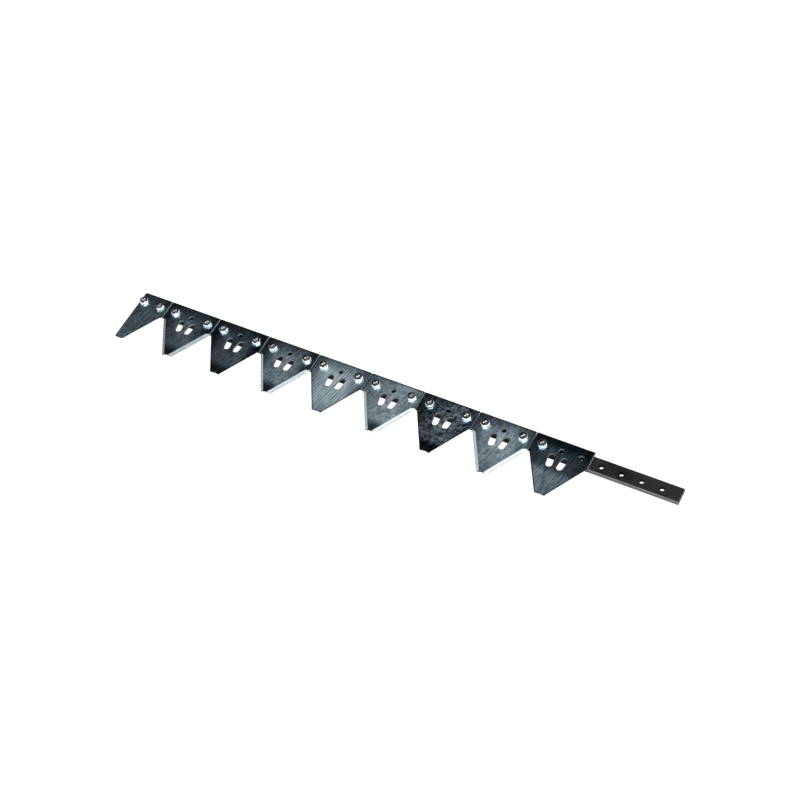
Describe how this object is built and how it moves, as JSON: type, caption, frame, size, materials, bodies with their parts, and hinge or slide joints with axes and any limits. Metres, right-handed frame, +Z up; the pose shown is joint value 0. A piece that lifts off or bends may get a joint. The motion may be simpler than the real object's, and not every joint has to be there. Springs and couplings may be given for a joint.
{
  "type": "mower sickle knife",
  "caption": "Flat knife back carrying a row of bolted triangular cutting sections with serrated ground edges, for a reciprocating mower cutter bar.",
  "frame": {"origin": "underside of the knife back, below the line of bolts, at the middle of the bar's length", "axes": "+X along the knife from the half section to the bare end, -Y to the cutting tips, +Z up through the sections to the nuts"},
  "size_m": [0.7665, 0.078, 0.0142],
  "materials": {
    "bar_steel": "dark rolled flat bar, bare grey on its sawn end and front face",
    "blade_steel": "dark blue-black polished spring steel, bright ground bevels",
    "bolt_steel": "plain steel",
    "nut_zinc": "bright zinc plate"
  },
  "bodies": {
    "root": {"knife_back": "bar_steel", "half_section": "blade_steel", "half_section_bolts": "bolt_steel", "half_section_nuts": "nut_zinc", "section_1": "blade_steel", "section_1_bolts": "bolt_steel", "section_1_nuts": "nut_zinc", "section_2": "blade_steel", "section_2_bolts": "bolt_steel", "section_2_nuts": "nut_zinc", "section_3": "blade_steel", "section_3_bolts": "bolt_steel", "section_3_nuts": "nut_zinc", "section_4": "blade_steel", "section_4_bolts": "bolt_steel", "section_4_nuts": "nut_zinc", "section_5": "blade_steel", "section_5_bolts": "bolt_steel", "section_5_nuts": "nut_zinc", "section_6": "blade_steel", "section_6_bolts": "bolt_steel", "section_6_nuts": "nut_zinc", "section_7": "blade_steel", "section_7_bolts": "bolt_steel", "section_7_nuts": "nut_zinc", "section_8": "blade_steel", "section_8_bolts": "bolt_steel", "section_8_nuts": "nut_zinc"}
  },
  "joints": []
}
